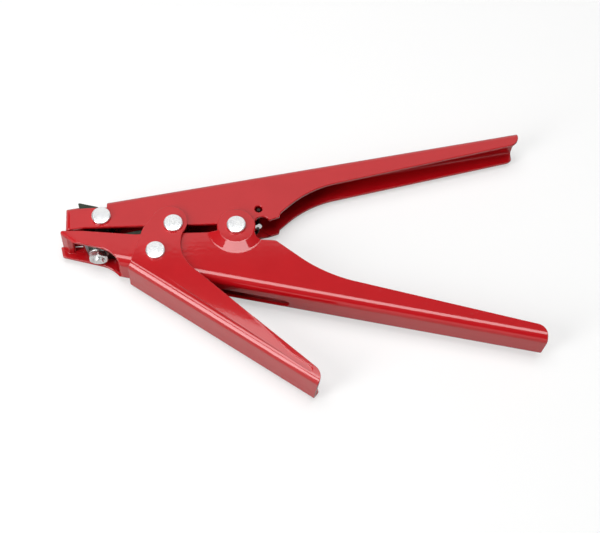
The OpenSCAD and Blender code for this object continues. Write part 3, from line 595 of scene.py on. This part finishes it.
# Sums over the sizes, the stages and the sums before them, each with its place in the tree. Out is away from
# the axis, and fall is down from the top of the crown.
rivetSums = {
    "flatRadius": ("SUBTRACT", (-1500, 500), ["Head Radius", "Rim Radius"]),
    "rimSine": ("SINE", (-1200, 200), ["rim"]),
    "crownOut": ("MULTIPLY", (-1200, 400), ["crown", "flatRadius"]),
    "rimOut": ("MULTIPLY_ADD", (-1000, 300), ["rimSine", "Rim Radius", "crownOut"]),
    "shoulder": ("SUBTRACT", (-1200, 0), ["Shank Radius", "Head Radius"]),
    "radius": ("MULTIPLY_ADD", (-800, 200), ["seat", "shoulder", "rimOut"]),
    "crownSquare": ("MULTIPLY", (-1200, -200), ["crown", "crown"]),
    "crownFall": ("MULTIPLY", (-1000, -200), ["crownSquare", "Crown Height"]),
    "rimCosine": ("COSINE", (-1200, -400), ["rim"]),
    "rimDrop": ("SUBTRACT", (-1000, -400), [1.0, "rimCosine"]),
    "rimFall": ("MULTIPLY_ADD", (-800, -300), ["rimDrop", "Rim Radius", "crownFall"]),
    "sideAndCrown": ("SUBTRACT", (-1200, -600), ["Head Height", "Rim Radius"]),
    "sideOnly": ("SUBTRACT", (-1000, -600), ["sideAndCrown", "Crown Height"]),
    "sideFall": ("MULTIPLY_ADD", (-600, -400), ["side", "sideOnly", "rimFall"]),
    "seatHeight": ("SUBTRACT", (-1200, -800), ["Half Length", "Head Height"]),
    "fall": ("MULTIPLY_ADD", (-400, -500), ["shank", "seatHeight", "sideFall"]),
    "height": ("SUBTRACT", (-200, -500), ["Half Length", "fall"]),
    "cosine": ("COSINE", (-600, 0), ["angle"]),
    "sine": ("SINE", (-600, -150), ["angle"]),
    "across": ("MULTIPLY", (-400, 50), ["radius", "cosine"]),
    "along": ("MULTIPLY", (-400, -100), ["radius", "sine"]),
}


def rivetNodes(finish):
    tree = bpy.data.node_groups.new("flat_headed_rivet", "GeometryNodeTree")
    groupSockets(tree, {
        "Axis": "NodeSocketVector", "Half Length": "NodeSocketFloat", "Head Radius": "NodeSocketFloat",
        "Head Height": "NodeSocketFloat", "Rim Radius": "NodeSocketFloat", "Crown Height": "NodeSocketFloat",
        "Shank Radius": "NodeSocketFloat", "Columns": "NodeSocketInt",
    })
    size = addNode(tree, "NodeGroupInput", (-2200, 0)).outputs
    lastRow = rivetStages["shank"][1]
    grid = addNode(tree, "GeometryNodeMeshGrid", (-2000, 500),
                   {"Size X": 1.0, "Size Y": 1.0, "Vertices Y": int(lastRow) + 1},
                   {"Vertices X": size["Columns"]})
    place = addNode(tree, "GeometryNodeInputPosition", (-2200, -400))
    split = addNode(tree, "ShaderNodeSeparateXYZ", (-2000, -400), {}, {0: place.outputs["Position"]})
    angle = addNode(tree, "ShaderNodeMath", (-1800, -300),
                    {"operation": "MULTIPLY_ADD", 1: 2 * math.pi, 2: math.pi}, {0: split.outputs["X"]})
    row = addNode(tree, "ShaderNodeMath", (-1800, -500),
                  {"operation": "MULTIPLY_ADD", 1: lastRow, 2: lastRow / 2}, {0: split.outputs["Y"]})
    known = {socket.name: socket for socket in size}
    known["angle"] = angle.outputs[0]
    for k, (name, (first, last, top)) in enumerate(rivetStages.items()):
        stage = addNode(tree, "ShaderNodeMapRange", (-1500, 300 - 250 * k),
                        {"From Min": first, "From Max": last, "To Max": top}, {"Value": row.outputs[0]})
        known[name] = stage.outputs["Result"]
    for name, (operation, spot, parts) in rivetSums.items():
        fixed = {k: part for k, part in enumerate(parts) if not isinstance(part, str)}
        linked = {k: known[part] for k, part in enumerate(parts) if isinstance(part, str)}
        total = addNode(tree, "ShaderNodeMath", spot, {"operation": operation, **fixed}, linked)
        known[name] = total.outputs[0]
    point = addNode(tree, "ShaderNodeCombineXYZ", (-200, 0), {},
                    {"X": known["across"], "Y": known["along"], "Z": known["height"]})
    spun = addNode(tree, "GeometryNodeStoreNamedAttribute", (-200, 500), {"Name": "spunRadius"},
                   {"Geometry": grid.outputs["Mesh"], "Value": known["radius"]})
    turned = addNode(tree, "GeometryNodeSetPosition", (0, 400), {},
                     {"Geometry": spun.outputs["Geometry"], "Position": point.outputs["Vector"]})
    mirrored = addNode(tree, "GeometryNodeTransform", (200, 200), {"Scale": (1.0, 1.0, -1.0)},
                       {"Geometry": turned.outputs["Geometry"]})
    both = addNode(tree, "GeometryNodeJoinGeometry", (400, 400), {}, {"Geometry": turned.outputs["Geometry"]})
    tree.links.new(mirrored.outputs["Geometry"], both.inputs["Geometry"])
    closed = addNode(tree, "GeometryNodeMergeByDistance", (600, 400), {"Distance": skinWeld},
                     {"Geometry": both.outputs["Geometry"]})
    placed = addNode(tree, "GeometryNodeTransform", (800, 400), {},
                     {"Geometry": closed.outputs["Geometry"], "Translation": size["Axis"]})
    real = addNode(tree, "GeometryNodeRealizeInstances", (1000, 400), {}, {"Geometry": placed.outputs["Geometry"]})
    coated = addNode(tree, "GeometryNodeSetMaterial", (1200, 400), {"Material": finish},
                     {"Geometry": real.outputs["Geometry"]})
    addNode(tree, "NodeGroupOutput", (1400, 400), {}, {"Geometry": coated.outputs["Geometry"]})
    return tree


# sizes in mm; the four heads are alike, peened almost flat, so their crown is low
headLook = {"radius": 3.7, "rim": 0.42, "crown": 0.1, "columns": 73, "sharp": 35}
rivetLooks = {
    "main_pivot_rivet": {"axis": (0.0, 0.0), "head": 1.6, "shank": 2.5},
    "lever_pivot_rivet": {"axis": (-31.4, -10.2), "head": 1.4, "shank": 2.2},
    "link_rivet": {"axis": (-24.4, 1.5), "head": 1.4, "shank": 2.2},
    "pawl_rivet": {"axis": (-52.4, 6.5), "head": 1.6, "shank": 2.2},
}
rivetTree = rivetNodes(brightPlate)
for nodeName, look in rivetLooks.items():
    low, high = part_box(nodeName)
    values = {
        "Axis": (look["axis"][0] * mm, look["axis"][1] * mm, (low.z + high.z) / 2),
        "Half Length": (high.z - low.z) / 2, "Head Radius": headLook["radius"] * mm,
        "Head Height": look["head"] * mm, "Rim Radius": headLook["rim"] * mm,
        "Crown Height": headLook["crown"] * mm, "Shank Radius": look["shank"] * mm,
        "Columns": headLook["columns"],
    }
    rivet = madeByNodes(nodeName + "_peened", bpy.data.meshes.new(nodeName), rivetTree, values, headLook["sharp"])
    standFor(rivet, nodeName)
print("rivets ready:", len(rivetLooks))


# round wire along a path, with its length and its angle kept for the drawing lines
def wireNodes(finish):
    tree = bpy.data.node_groups.new("round_wire", "GeometryNodeTree")
    groupSockets(tree, {"Wire Radius": "NodeSocketFloat", "Sides": "NodeSocketInt"})
    size = addNode(tree, "NodeGroupInput", (-1000, 0)).outputs
    path = addNode(tree, "GeometryNodeMeshToCurve", (-800, 100), {}, {"Mesh": size["Geometry"]})
    run = addNode(tree, "GeometryNodeSplineParameter", (-800, -200))
    kept = addNode(tree, "GeometryNodeStoreNamedAttribute", (-500, 100), {"Name": "wireRun"},
                   {"Geometry": path.outputs["Curve"], "Value": run.outputs["Length"]})
    section = addNode(tree, "GeometryNodeCurvePrimitiveCircle", (-500, -200), {},
                      {"Resolution": size["Sides"], "Radius": size["Wire Radius"]})
    around = addNode(tree, "GeometryNodeInputPosition", (-500, -400))
    ring = addNode(tree, "GeometryNodeStoreNamedAttribute", (-250, -200),
                   {"data_type": "FLOAT_VECTOR", "Name": "wireRing"},
                   {"Geometry": section.outputs["Curve"], "Value": around.outputs["Position"]})
    skin = addNode(tree, "GeometryNodeCurveToMesh", (0, 100), {"Fill Caps": True},
                   {"Curve": kept.outputs["Geometry"], "Profile Curve": ring.outputs["Geometry"]})
    runRead = addNode(tree, "GeometryNodeInputNamedAttribute", (0, -150),
                      {"data_type": "FLOAT", "Name": "wireRun"})
    ringRead = addNode(tree, "GeometryNodeInputNamedAttribute", (0, -350),
                       {"data_type": "FLOAT_VECTOR", "Name": "wireRing"})
    ringParts = addNode(tree, "ShaderNodeSeparateXYZ", (200, -350), {}, {0: ringRead.outputs["Attribute"]})
    wirePlace = addNode(tree, "ShaderNodeCombineXYZ", (400, -200), {},
                        {"X": runRead.outputs["Attribute"], "Y": ringParts.outputs["X"],
                         "Z": ringParts.outputs["Y"]})
    marked = addNode(tree, "GeometryNodeStoreNamedAttribute", (600, 100),
                     {"data_type": "FLOAT_VECTOR", "Name": "wirePlace"},
                     {"Geometry": skin.outputs["Mesh"], "Value": wirePlace.outputs["Vector"]})
    real = addNode(tree, "GeometryNodeRealizeInstances", (800, 100), {}, {"Geometry": marked.outputs["Geometry"]})
    coated = addNode(tree, "GeometryNodeSetMaterial", (1000, 100), {"Material": finish},
                     {"Geometry": real.outputs["Geometry"]})
    addNode(tree, "NodeGroupOutput", (1200, 100), {}, {"Geometry": coated.outputs["Geometry"]})
    return tree


def directionTo(centre, point):
    return math.degrees(math.atan2(point[1] - centre[1], point[0] - centre[0]))


# angle between the line to a point and the spot where a leg leaves the coil straight towards that point
def leaveAngle(centre, point, radius):
    return math.degrees(math.acos(radius / math.dist(centre, point)))


# the coil turns from where the first leg leaves it to where the last one does, and climbs from low to high
def coilPoints(look, first, last, low, high):
    centre, radius = look["centre"], look["coil"]
    start = directionTo(centre, first) + leaveAngle(centre, first, radius)
    stop = directionTo(centre, last) - leaveAngle(centre, last, radius) + 360 * look["turns"]
    count = int(abs(stop - start) / 360 * look["perTurn"])
    points = []
    for k in range(count + 1):
        angle = math.radians(start + (stop - start) * k / count)
        points.append(Vector((centre[0] + radius * math.cos(angle), centre[1] + radius * math.sin(angle),
                              low + (high - low) * k / count)))
    return points


def softCorner(before, corner, after, radius, count=8):
    first = corner + (before - corner).normalized() * radius
    last = corner + (after - corner).normalized() * radius
    shares = [k / count for k in range(count + 1)]
    return [first.lerp(corner, share).lerp(corner.lerp(last, share), share) for share in shares]


def pathMesh(name, points):
    mesh = bpy.data.meshes.new(name)
    lifted = [(p.x * mm, p.y * mm, p.z * mm + restHeight) for p in points]
    mesh.from_pydata(lifted, [(k, k + 1) for k in range(len(lifted) - 1)], [])
    return mesh


wireTree = wireNodes(springWire)
wireSharp = 40


def wound(look, points):
    values = {"Wire Radius": look["wire"] * mm, "Sides": look["sides"]}
    return madeByNodes(look["name"], pathMesh(look["name"] + "_path", points), wireTree, values, wireSharp)


# the hook of the main spring goes up through the hole of the upper cheek, its knee stands in the notch by the pivot
mainSpring = {
    "name": "main_spring_wound", "centre": (0.0, 0.0), "coil": 4.7, "wire": 0.65, "sides": 16, "halfWidth": 3.8,
    "turns": 4, "perTurn": 60, "eye": (9.0, 8.1), "knee": (8.4, -0.3), "hookHeight": 6.65, "corner": 1.4,
    "stillBelow": 1.2, "movesAbove": 6.0,
}


def hookedPath(look):
    low, high, hook = -look["halfWidth"], look["halfWidth"], look["hookHeight"]
    coil = coilPoints(look, look["eye"], look["knee"], low, high)
    eyeHigh, eyeLow = Vector((*look["eye"], hook)), Vector((*look["eye"], low))
    kneeLow, kneeHigh = Vector((*look["knee"], high)), Vector((*look["knee"], hook))
    return ([eyeHigh] + softCorner(eyeHigh, eyeLow, coil[0], look["corner"]) + coil
            + softCorner(coil[-1], kneeLow, kneeHigh, look["corner"]) + [kneeHigh])


mainWire = wound(mainSpring, hookedPath(mainSpring))
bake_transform(mainWire)
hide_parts("main_return_spring")


# two straight legs: from the tip of the first, round the coil, to the end of the other, which rests on a sheet
def twoLegPath(look):
    coil = coilPoints(look, look["tip"], look["rest"], look["low"], look["high"])
    return [Vector((*look["tip"], look["low"]))] + coil + [Vector((*look["rest"], look["restLevel"]))]


# the long leg of the lever spring lies inside the lever's spine, its short leg on the lower spine
leverSpring = {
    "name": "lever_spring_wound", "centre": (-31.4, -10.2), "coil": 4.3, "wire": 0.7, "sides": 16, "low": -3.2,
    "high": 4.4, "turns": 4, "perTurn": 60, "tip": (2.955, -46.53), "rest": (-39.73, -13.0), "restLevel": 3.1,
}
leverWire = wound(leverSpring, twoLegPath(leverSpring))
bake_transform(leverWire)
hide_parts("lever_return_spring")

# the pawl spring rests under the upper spine and presses in the notch of the pawl
pawlSpring = {
    "name": "pawl_spring_wound", "centre": (-52.4, 6.5), "coil": 3.0, "wire": 0.4, "sides": 14, "low": -1.4,
    "high": 1.4, "turns": 2, "perTurn": 48, "tip": (-54.076, 11.104), "rest": (-44.0, 12.8), "restLevel": 1.4,
}
pawlWire = wound(pawlSpring, twoLegPath(pawlSpring))
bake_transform(pawlWire)
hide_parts("pawl_spring")
print("springs ready")


# Matt paper of a studio table, white to the camera and pale grey in the light that it throws back on the tool.
# What the camera and the shiny pieces see of it is lifted to plain white away from the tool; near it the camera
# sees it half lifted and the gloss not at all, so that the shadow stays. Edges are in metres from the tool. Real
# fibres are far finer than these, which are about 1 mm wide so that the paper isn't quite flat.
paperLook = {
    "colour": "F8F8F7", "bounce": "C4C4C2", "nearLift": 0.0, "farLift": 1.0, "nearEdge": 0.13, "farEdge": 0.5,
    "cameraLift": 0.5, "fibresPerMetre": 900.0, "toothDepth": 0.05,
}


def whitePaper(name, look):
    material, tree = blankMaterial(name)
    place = addNode(tree, "ShaderNodeTexCoord", (-1200, 300))
    reach = addNode(tree, "ShaderNodeVectorMath", (-1000, 300), {"operation": "LENGTH"}, {0: place.outputs["Object"]})
    lift = addNode(tree, "ShaderNodeMapRange", (-800, 300),
                   {"interpolation_type": "SMOOTHSTEP", "From Min": look["nearEdge"], "From Max": look["farEdge"],
                    "To Min": look["nearLift"], "To Max": look["farLift"]}, {"Value": reach.outputs["Value"]})
    rays = addNode(tree, "ShaderNodeLightPath", (-1200, -100))
    glossOrGlass = addNode(tree, "ShaderNodeMath", (-1000, -100), {"operation": "MAXIMUM"},
                           {0: rays.outputs["Is Glossy Ray"], 1: rays.outputs["Is Transmission Ray"]})
    seen = addNode(tree, "ShaderNodeMath", (-800, -100), {"operation": "MAXIMUM"},
                   {0: rays.outputs["Is Camera Ray"], 1: glossOrGlass.outputs[0]})
    lifted = addNode(tree, "ShaderNodeMath", (-600, 100), {"operation": "MULTIPLY"},
                     {0: lift.outputs["Result"], 1: seen.outputs[0]})
    cameraLift = addNode(tree, "ShaderNodeMath", (-600, -100), {"operation": "MULTIPLY", 1: look["cameraLift"]},
                         {0: rays.outputs["Is Camera Ray"]})
    share = addNode(tree, "ShaderNodeMath", (-400, 100), {"operation": "MAXIMUM"},
                    {0: lifted.outputs[0], 1: cameraLift.outputs[0]})
    fibre = addNode(tree, "ShaderNodeTexNoise", (-800, -400), {"Scale": look["fibresPerMetre"], "Detail": 2.0},
                    {"Vector": place.outputs["Object"]})
    tooth = addNode(tree, "ShaderNodeBump", (-600, -400),
                    {"Strength": 0.2, "Distance": look["toothDepth"] * mm}, {"Height": fibre.outputs["Fac"]})
    tint = addNode(tree, "ShaderNodeMix", (-500, -200), tones(look["bounce"], look["colour"]),
                   {0: rays.outputs["Is Camera Ray"]})
    paper = addNode(tree, "ShaderNodeBsdfDiffuse", (-300, -150), {},
                    {"Color": tint.outputs[2], "Normal": tooth.outputs["Normal"]})
    white = addNode(tree, "ShaderNodeEmission", (-300, -300), {"Color": linear("FFFFFF"), "Strength": 1.0})
    mix = addNode(tree, "ShaderNodeMixShader", (0, 0), {},
                  {0: share.outputs[0], 1: paper.outputs["BSDF"], 2: white.outputs["Emission"]})
    addNode(tree, "ShaderNodeOutputMaterial", (250, 0), {}, {"Surface": mix.outputs["Shader"]})
    return material


# table top that rises to a low wall far out, all round; distances and heights in metres
floorLook = {
    "profile": [(0.0, 0.0), (0.6, 0.0), (1.4, 0.0), (2.3, 0.0), (2.7, 0.04), (3.0, 0.2), (3.2, 0.5), (3.3, 1.3)],
    "segments": 72,
}


def makeFloor(look):
    shape = bmesh.new()
    count = look["segments"]
    turns = [2 * math.pi * k / count for k in range(count)]
    rings = [[shape.verts.new((r * math.cos(turn), r * math.sin(turn), z)) for turn in turns]
             for r, z in look["profile"]]
    for low, high in zip(rings, rings[1:]):
        for k in range(count):
            after = (k + 1) % count
            shape.faces.new((low[k], high[k], high[after], low[after])).smooth = True
    bmesh.ops.remove_doubles(shape, verts=shape.verts, dist=mm)
    mesh = bpy.data.meshes.new("studio_floor")
    shape.to_mesh(mesh)
    shape.free()
    mesh.materials.append(whitePaper("white_table_paper", paperLook))
    newPiece("studio_floor", mesh)


# sheet of paper that stands behind the table, in metres; the flat enamel mirrors its upper part
backdropLook = {
    "left": -0.62, "right": 0.72, "distance": 1.0, "foot": 0.002, "top": 1.86, "bow": 0.1, "strips": 16,
}


def makeBackdrop(look):
    points, faces = [], []
    for k in range(look["strips"] + 1):
        t = k / look["strips"]
        x = look["left"] + (look["right"] - look["left"]) * t
        y = look["distance"] - look["bow"] * (2 * t - 1) ** 2
        points += [(x, y, look["foot"]), (x, y, look["top"])]
    for k in range(look["strips"]):
        faces.append((2 * k, 2 * k + 2, 2 * k + 3, 2 * k + 1))
    mesh = bpy.data.meshes.new("studio_backdrop")
    mesh.from_pydata(points, [], faces)
    mesh.materials.append(whitePaper("white_backdrop_paper", dict(paperLook, nearLift=1.0)))
    newPiece("studio_backdrop", mesh)


# Places and sizes in metres, and how bright the lamp's cloth is, where plain white is 1. An aimed lamp faces the
# tool, and the others hang level.
lampLooks = {
    "overhead_box": {"place": (-0.02, -0.01, 1.02), "size": (0.76, 0.5), "glow": 5.9, "aimed": False},
    "overhead_edge": {"place": (-0.02, 0.315, 1.02), "size": (0.76, 0.14), "glow": 3.2, "aimed": False},
    "front_left_box": {"place": (-0.66, -0.46, 0.58), "size": (0.34, 0.78), "glow": 7.6, "aimed": True},
}


def softBox(name, look):
    data = bpy.data.lights.new(name, "AREA")
    data.shape = "RECTANGLE"
    data.size, data.size_y = look["size"]
    # an even square glows with its power over pi and its area
    data.energy = look["glow"] * math.pi * data.size * data.size_y
    lamp = bpy.data.objects.new(name, data)
    lamp.location = look["place"]
    if look["aimed"]:
        lamp.rotation_euler = (-Vector(look["place"])).to_track_quat("-Z", "Y").to_euler()
    lamp.visible_camera = False
    scene.collection.objects.link(lamp)


roomLook = {"colour": "E6EAF0", "strength": 0.1}


def makeRoom(look):
    world = bpy.data.worlds.new("studio_room")
    scene.world = world
    world.use_nodes = True
    tree = world.node_tree
    tree.nodes.clear()
    room = addNode(tree, "ShaderNodeBackground", (0, 0),
                   {"Color": linear(look["colour"]), "Strength": look["strength"]})
    addNode(tree, "ShaderNodeOutputWorld", (250, 0), {}, {"Surface": room.outputs["Background"]})


# place in mm, turn in degrees, lens and sensor in mm, near and far limits in metres
cameraLook = {
    "place": (-6.0226, -281.0588, 515.6157), "turn": (27.94211, -1.87670, -2.96695), "lens": 87.96,
    "sensor": 36.0, "near": 0.01, "far": 20.0,
}


def makeCamera(look):
    data = bpy.data.cameras.new("photo_camera")
    data.sensor_width = look["sensor"]
    data.lens = look["lens"]
    data.clip_start = look["near"]
    data.clip_end = look["far"]
    camera = bpy.data.objects.new("photo_camera", data)
    camera.location = Vector(look["place"]) * mm
    camera.rotation_euler = Euler([math.radians(v) for v in look["turn"]], "XYZ")
    scene.collection.objects.link(camera)
    scene.camera = camera


makeFloor(floorLook)
makeBackdrop(backdropLook)
for name, look in lampLooks.items():
    softBox(name, look)
makeRoom(roomLook)
makeCamera(cameraLook)
scene.view_settings.view_transform = "Standard"
print("studio ready")

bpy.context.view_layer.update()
